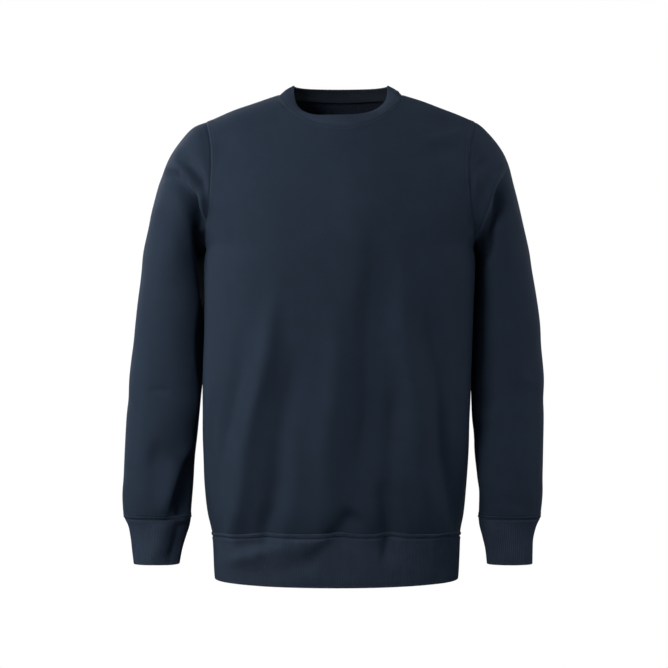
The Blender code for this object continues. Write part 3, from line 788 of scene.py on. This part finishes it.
def rib_band(name, outer, flip, materials):
    """A band of doubled rib: two ribbed faces that meet in a rounded, folded edge.

    Its sewn allowance lies inside, on the cloth beyond the seam.
    """
    rows, width = outer.shape[:2]
    facing = normals(outer, True) * (-1 if flip else 1)
    wale = 0.5 + 0.5 * np.cos(np.arange(width) * math.pi * 2 / RIB_COLUMNS)
    rise = ease(np.linspace(0, 1, rows), 0.0, 0.12)[:, None]
    relief = RIB_DEPTH * (wale[None, :] - 1) * (0.35 + 0.65 * rise)
    face = outer + facing * relief[..., None]
    back = outer - facing * (RIB + relief)[..., None]
    middle, half = (outer[-1] + back[-1]) / 2, RIB / 2
    swell = half * (1 + relief[-1] / half)[:, None]
    way = unit(outer[-1] - outer[-2])
    edge = []
    for turn in np.arange(1, EDGE_STEPS) * math.pi / EDGE_STEPS:
        edge.append(middle + facing[-1] * swell * math.cos(turn) + way * swell * math.sin(turn))
    away, outward = unit(outer[0] - outer[CLEAR_ROW]), facing[CLEAR_ROW]
    allowance = [outer[0] + away * reach - outward * depth for reach, depth in ALLOWANCE]
    points = np.array([*face, *edge, *back[::-1], *allowance])
    piece = cloth_mesh(name, points, True, flip, materials, loop=True)
    on_back = np.arange(len(points)) >= rows + EDGE_STEPS - 2
    piece.data.polygons.foreach_set("material_index", np.repeat(on_back, width).astype(np.int32))
    return piece


# Stitches


def seam_line(points, distance):
    """The line on a grid that runs at a distance from its first row."""
    along = run_length(points, 0)
    rows, column = np.arange(len(points)), np.arange(points.shape[1])
    row = np.array([np.interp(distance, along[:, k], rows) for k in column])
    low = np.clip(np.floor(row).astype(int), 0, len(points) - 2)
    share = (row - low)[:, None]
    return points[low, column] * (1 - share) + points[low + 1, column] * share


def read_line(line, along, places):
    """What a line's points hold at places along it."""
    return np.stack([np.interp(places, along, line[:, k]) for k in range(3)], axis=-1)


def stitch_faces():
    """The faces of one stitch: the cells between its rings, then its two ends."""
    last = (len(STITCH_RINGS) - 1) * STITCH_SIDES
    faces = []
    for low in range(0, last, STITCH_SIDES):
        high = low + STITCH_SIDES
        for side in range(STITCH_SIDES):
            beside = (side + 1) % STITCH_SIDES
            faces.append((low + side, low + beside, high + beside, high + side))
    faces.append(tuple(range(STITCH_SIDES))[::-1])
    faces.append(tuple(range(last, last + STITCH_SIDES)))
    return faces


def stitches(name, lines, material):
    """One mesh with every stitch of some lines. A line is (points, outward normals)."""
    turn = (np.arange(STITCH_SIDES) / STITCH_SIDES * 2 * math.pi)[:, None]
    one_stitch = stitch_faces()
    vertices, faces = [], []
    for points, facing in lines:
        along = run_length(points[:, None], 0)[:, 0]
        count = int(along[-1] / STITCH_PITCH)
        places = (np.arange(count) + 0.5) * along[-1] / count
        centre = read_line(points, along, places)
        ahead = read_line(points, along, places + STITCH_AIM)
        behind = read_line(points, along, places - STITCH_AIM)
        way, up = unit(ahead - behind), unit(read_line(facing, along, places))
        aside = np.cross(way, up)
        for k in range(count):
            first = len(vertices)
            rim = aside[k] * np.cos(turn) + up[k] * np.sin(turn)
            for at, size, lift in STITCH_RINGS:
                middle = centre[k] + way[k] * at * STITCH_LENGTH / 2 + up[k] * lift * STITCH_RADIUS
                vertices.extend(middle + rim * size * STITCH_RADIUS)
            faces.extend([tuple(first + corner for corner in face) for face in one_stitch])
    mesh = bpy.data.meshes.new(name)
    mesh.from_pydata((np.array(vertices) * MM).tolist(), [], faces)
    mesh.shade_smooth()
    mesh.materials.append(material)
    return placed(name, mesh)


# Materials. Each has a darker and a lighter shade, which a noise texture mixes.

FACE_SHADES = ((0.0135, 0.0220, 0.0375), (0.0216, 0.0345, 0.0570))
# painted shade: the brushed inside is darker than the face to stand in for the shade inside the
# garment
INSIDE_PAINTED_SHADES = ((0.0060, 0.0090, 0.0150), (0.0130, 0.0190, 0.0310))
RIB_SHADES = ((0.0212, 0.0320, 0.0522), (0.0335, 0.0493, 0.0785))
# painted shade: the same rib yarn, darkened for the collar's inner face, which lies in shade
# inside the neck
RIB_INSIDE_PAINTED_SHADES = ((0.0072, 0.0100, 0.0150), (0.0120, 0.0165, 0.0245))
THREAD_SHADES = ((0.0280, 0.0420, 0.0660), (0.0500, 0.0700, 0.1050))
SPECULAR = 0.12  # cloth has little gloss
NOISE_RANGE = (0.3, 0.7)  # where most of a noise texture's values lie


class Nodes:
    """A few shorthands for building a material's nodes."""

    def __init__(self, name):
        self.material = bpy.data.materials.new(name)
        self.material.use_nodes = True
        self.tree = self.material.node_tree
        self.shader = self.tree.nodes["Principled BSDF"]

    def link(self, source, target):
        self.tree.links.new(source, target)

    def feed(self, **sources):
        """Links values to the shader's own sockets, which are named in small letters."""
        for name, source in sources.items():
            self.link(source, self.shader.inputs[name.replace("_", " ").title()])

    def node(self, kind, **values):
        made = self.tree.nodes.new("ShaderNode" + kind)
        for key, value in values.items():
            setattr(made, key, value)
        return made

    def maths(self, operation, *values):
        made = self.node("Math", operation=operation)
        for socket, value in zip(made.inputs, values, strict=False):
            if isinstance(value, (int, float)):
                socket.default_value = value
            else:
                self.link(value, socket)
        return made.outputs[0]

    def noise(self, scale, detail=2.0, roughness=0.5):
        made = self.node("TexNoise")
        made.inputs["Scale"].default_value = scale
        made.inputs["Detail"].default_value = detail
        made.inputs["Roughness"].default_value = roughness
        self.link(self.node("TexCoord").outputs["Object"], made.inputs["Vector"])
        return made.outputs["Fac"]

    def ramp(self, noise, low, high):
        """A noise spread over the range from low to high."""
        made = self.node("MapRange")
        made.inputs["From Min"].default_value = NOISE_RANGE[0]
        made.inputs["From Max"].default_value = NOISE_RANGE[1]
        made.inputs["To Min"].default_value = low
        made.inputs["To Max"].default_value = high
        self.link(noise, made.inputs["Value"])
        return made.outputs["Result"]

    def blend(self, first, second, share):
        """Two noises in one, of which the first has the share."""
        return self.maths(
            "ADD", self.maths("MULTIPLY", first, share), self.maths("MULTIPLY", second, 1 - share)
        )

    def colour(self, noise, shades):
        made = self.node("Mix", data_type="RGBA")
        made.inputs["A"].default_value = (*shades[0], 1.0)
        made.inputs["B"].default_value = (*shades[1], 1.0)
        self.link(self.ramp(noise, 0.0, 1.0), made.inputs["Factor"])
        return made.outputs["Result"]

    def bump(self, height, depth, strength, normal=None):
        """A relief as deep as depth, in mm, on top of another one where that is given."""
        made = self.node("Bump")
        made.inputs["Distance"].default_value = depth * MM
        made.inputs["Strength"].default_value = strength
        self.link(height, made.inputs["Height"])
        if normal is not None:
            self.link(normal, made.inputs["Normal"])
        return made.outputs["Normal"]

    def sheen(self, weight, roughness, tint):
        """The soft shine of fibres that stand up."""
        self.shader.inputs["Sheen Weight"].default_value = weight
        self.shader.inputs["Sheen Roughness"].default_value = roughness
        self.shader.inputs["Sheen Tint"].default_value = (*tint, 1.0)
        self.shader.inputs["Specular IOR Level"].default_value = SPECULAR

    def knit(self, wale, course):
        """The V-shaped loops of a knitted face, as wide and as high as this in mm."""
        split = self.node("SeparateXYZ")
        self.link(self.node("UVMap", uv_map="cloth").outputs["UV"], split.inputs[0])
        across = self.maths("DIVIDE", split.outputs["X"], wale * MM)
        leg = self.maths("MULTIPLY", self.maths("PINGPONG", across, 0.5), 2.0)
        down = self.maths("DIVIDE", split.outputs["Y"], course * MM)
        phase = self.maths("ADD", down, self.maths("MULTIPLY", leg, 0.8))
        loop = self.maths("SINE", self.maths("MULTIPLY", phase, 2 * math.pi))
        width = self.maths("SINE", self.maths("MULTIPLY", leg, math.pi))
        return self.maths("MULTIPLY", width, self.maths("MULTIPLY_ADD", loop, 0.3, 0.7))


def fleece_face():
    """The smooth, slightly felted outside of the fleece, with a faint melange."""
    nodes = Nodes("fleece_face")
    fibres = nodes.noise(900.0, 3.0, 0.6)
    clouds = nodes.noise(38.0, 4.0, 0.62)
    felt = nodes.noise(420.0, 3.0, 0.6)
    nodes.feed(
        base_color=nodes.colour(nodes.blend(fibres, clouds, 0.55), FACE_SHADES),
        roughness=nodes.ramp(clouds, 0.82, 0.96),
        normal=nodes.bump(felt, 0.16, 0.8, nodes.bump(nodes.knit(1.15, 0.95), 0.12, 0.8)),
    )
    nodes.sheen(0.07, 0.4, (0.4, 0.6, 1.0))
    return nodes.material


def fleece_inside_painted_shade():
    """The brushed inside: soft, clumped nap, in colours darkened as painted shade for the shade
    inside the garment.
    """
    nodes = Nodes("fleece_inside_painted_shade")
    clumps = nodes.noise(260.0, 5.0, 0.7)
    nodes.feed(
        base_color=nodes.colour(clumps, INSIDE_PAINTED_SHADES),
        roughness=nodes.ramp(clumps, 1.0, 0.9),
        normal=nodes.bump(clumps, 0.9, 0.9),
    )
    nodes.sheen(0.06, 0.5, (0.5, 0.65, 1.0))
    return nodes.material


def rib_face(name, shades):
    """Rib knit: the ribs are modelled, and the loops in them are in the surface."""
    nodes = Nodes(name)
    fibres = nodes.noise(1100.0, 3.0, 0.6)
    clouds = nodes.noise(60.0, 3.0, 0.6)
    nodes.feed(
        base_color=nodes.colour(nodes.blend(fibres, clouds, 0.6), shades),
        roughness=nodes.ramp(fibres, 0.86, 0.96),
        normal=nodes.bump(nodes.knit(1.2, 1.0), 0.15, 0.8),
    )
    nodes.sheen(0.07, 0.4, (0.5, 0.6, 1.0))
    return nodes.material


def thread():
    """The stitches' yarn, with its twist."""
    nodes = Nodes("thread")
    twist = nodes.noise(1500.0)
    nodes.feed(
        base_color=nodes.colour(twist, THREAD_SHADES),
        roughness=nodes.ramp(twist, 0.5, 0.7),
        normal=nodes.bump(twist, 0.08, 0.8),
    )
    nodes.sheen(0.1, 0.4, (0.6, 0.7, 0.85))
    return nodes.material


# Making it


def dress(piece, node):
    """Attaches a piece of cloth to the root body and hides the solid that it stands for."""
    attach(piece, "root")
    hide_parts(node)


def main():
    front, back = panel(FRONT, FRONT_FOLDS), panel(BACK, BACK_FOLDS)
    right = sleeve(
        front, back, RIGHT, RIGHT_SLEEVE, RIGHT_SLEEVE_FRONT_FOLDS, RIGHT_SLEEVE_BACK_FOLDS
    )
    left = sleeve(front, back, LEFT, LEFT_SLEEVE, LEFT_SLEEVE_FRONT_FOLDS, LEFT_SLEEVE_BACK_FOLDS)
    hem = hem_band(front, back)
    neck = collar(front, back)
    right_cuff = cuff(RIGHT_CUFF, RIGHT, right, RIGHT_CUFF_FOLDS)
    left_cuff = cuff(LEFT_CUFF, LEFT, left, LEFT_CUFF_FOLDS)

    # Each piece's points, whether it is a ring and turned inside out, and what it was cut to
    # the inside material carries painted shade: its colours are darkened for the garment's shaded
    # inside
    face, inside = fleece_face(), fleece_inside_painted_shade()
    fleece_pieces = {
        "front_panel": (front, False, False, (0.54, 0.67), 0.33),
        "back_panel": (back, False, True, (0.54, 0.69), 0.35),
        "right_sleeve": (right, True, True, (0.42, 0.62), 0.20),
        "left_sleeve": (left, True, False, (0.42, 0.62), 0.20),
    }
    for name, (points, ring, flip, flat, area) in fleece_pieces.items():
        piece = cloth_mesh(name + "_cloth", points, ring, flip, (face, inside))
        thicken(piece, FLEECE)
        dress(piece, name)

    rib = rib_face("rib_knit", RIB_SHADES)
    # the collar's inner face and allowance take the rib darkened as painted shade
    rib_inside_painted_shade = rib_face("rib_knit_inside_painted_shade", RIB_INSIDE_PAINTED_SHADES)
    panels = ["front_panel", "back_panel"]
    bands = {
        "right_cuff": (right_cuff, True, rib, (0.215, 0.064), ["right_sleeve"]),
        "left_cuff": (left_cuff, False, rib, (0.215, 0.064), ["left_sleeve"]),
        "hem_band": (hem, False, rib, (1.0, 0.068), panels),
        "collar": (neck, True, rib_inside_painted_shade, (0.47, 0.024), panels),
    }
    for name, (points, flip, back_face, flat, rests_on) in bands.items():
        piece = rib_band(name + "_cloth", points, flip, (rib, back_face))
        dress(piece, name)

    sew(front, back, right, left, hem, thread())


def sew(front, back, right, left, hem, yarn):
    """The rows of stitches along the seams that are stitched down."""

    def lines(grids, pick):
        """The rows beside a seam, which is the first row of what pick takes from a grid."""
        return [
            (seam_line(pick(grid), distance), pick(facing)[0])
            for grid, facing in grids
            for distance in NEEDLE_LINES
        ]

    panels = ((front, normals(front, False)), (back, -normals(back, False)))
    band = closed(hem)
    on_neck = np.abs(columns()) <= NECK_SHARE
    made = {
        "right_armhole_stitches": lines(panels, lambda g: g[ON_ARMHOLE].transpose(1, 0, 2)),
        "left_armhole_stitches": lines(panels, lambda g: g[ON_ARMHOLE, ::-1].transpose(1, 0, 2)),
        "hem_stitches": lines([(band, normals(band, False))], lambda g: g),
        "neck_stitches": lines(panels, lambda g: g[::-1, on_neck]),
    }
    for name, points, side in (("right", right, RIGHT), ("left", left, LEFT)):
        tube = closed(points)
        facing = side * normals(tube, False)
        made[name + "_cuff_stitches"] = lines([(tube, facing)], lambda g: g[::-1])
    for name, found in made.items():
        rows = stitches(name, found, yarn)
        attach(rows, "root")


# The studio

# The photo's view: level and straight on, from far away through a long lens
CAMERA_PLACE = (-0.0039, -3.1, -0.341)
CAMERA_LENS = 116.03
CAMERA_SENSOR = 36.0
FLOOR_Z = -1.45
FLOOR_RADIUS = 3.4
WHITE = (1.0, 1.0, 1.0)

# Round, soft lights, which all point at the middle of the garment. Left is the viewer's.
GARMENT_MIDDLE = (0.0, 0.0, -0.3)
Light = namedtuple("Light", "name place size power colour")
LIGHTS = [
    Light("key", (-0.95, -1.35, 0.2), 0.6, 17.6, (1.0, 0.98, 0.96)),
    Light("front", (-0.7, -2.2, -0.6), 0.8, 2.5, (0.95, 0.97, 1.0)),
    Light("left_side", (-1.25, -0.15, 0.1), 0.8, 9.5, WHITE),
    Light("right_side", (1.2, -0.4, -0.2), 0.8, 3.2, (0.96, 0.98, 1.0)),
    Light("fill", (1.5, -2.4, 0.1), 1.2, 4.5, (0.95, 0.97, 1.0)),
    Light("top", (-0.5, -0.3, 1.3), 0.8, 2.6, WHITE),
    Light("right_edge", (2.3, 0.6, 0.8), 1.0, 19.0, WHITE),
    Light("back", (-1.5, 2.2, 1.0), 1.2, 45.0, WHITE),
    Light("back_fill", (1.6, 2.4, 0.0), 1.4, 12.0, WHITE),
]


def camera():
    lens = bpy.data.cameras.new("camera")
    lens.sensor_width = CAMERA_SENSOR
    lens.lens = CAMERA_LENS
    lens.clip_end = 60.0
    holder = placed("camera", lens)
    holder.location = CAMERA_PLACE
    holder.rotation_euler = (math.pi / 2, 0.0, 0.0)
    bpy.context.scene.camera = holder


def surround():
    """White to the camera, and a weak, cool light to everything else."""
    world = bpy.data.worlds.new("surround")
    bpy.context.scene.world = world
    world.use_nodes = True
    tree = world.node_tree
    seen = tree.nodes["Background"]
    seen.inputs["Color"].default_value = (*WHITE, 1.0)
    seen.inputs["Strength"].default_value = 1.0
    lit = tree.nodes.new("ShaderNodeBackground")
    lit.inputs["Color"].default_value = (0.92, 0.96, 1.0, 1.0)
    lit.inputs["Strength"].default_value = 0.045
    rays = tree.nodes.new("ShaderNodeLightPath")
    mix = tree.nodes.new("ShaderNodeMixShader")
    tree.links.new(rays.outputs["Is Camera Ray"], mix.inputs[0])
    tree.links.new(lit.outputs[0], mix.inputs[1])
    tree.links.new(seen.outputs[0], mix.inputs[2])
    tree.links.new(mix.outputs[0], tree.nodes["World Output"].inputs["Surface"])


def pale_floor():
    bpy.ops.mesh.primitive_circle_add(vertices=96, radius=FLOOR_RADIUS, fill_type="NGON")
    floor = bpy.context.active_object
    floor.name = "floor"
    floor.location = (0.0, 0.0, FLOOR_Z)
    pale = Nodes("floor")
    pale.shader.inputs["Base Color"].default_value = (0.92, 0.92, 0.92, 1.0)
    pale.feed(roughness=pale.ramp(pale.noise(6.0), 0.78, 0.84))
    pale.shader.inputs["Emission Color"].default_value = (*WHITE, 1.0)
    pale.shader.inputs["Emission Strength"].default_value = 0.6
    floor.data.materials.append(pale.material)
    floor.visible_diffuse = False
    floor.visible_glossy = False


def hang(light):
    """Puts up one of the lights, out of the camera's sight."""
    lamp = bpy.data.lights.new(light.name, "AREA")
    lamp.shape = "DISK"
    lamp.size = light.size
    lamp.energy = light.power
    lamp.color = light.colour
    holder = placed(light.name, lamp)
    holder.location = light.place
    holder.visible_camera = False
    away = np.array(GARMENT_MIDDLE) - np.array(holder.location)
    pan = math.atan2(away[1], away[0]) - math.pi / 2
    tilt = math.atan2(away[2], math.hypot(away[0], away[1])) + math.pi / 2
    holder.rotation_euler = (tilt, 0.0, pan)


def studio():
    """A plain pale floor, a white surround and soft light, most of it from the left."""
    camera()
    surround()
    pale_floor()
    for light in LIGHTS:
        hang(light)
    view = bpy.context.scene.view_settings
    view.view_transform = "Standard"
    view.look = "None"


main()
studio()
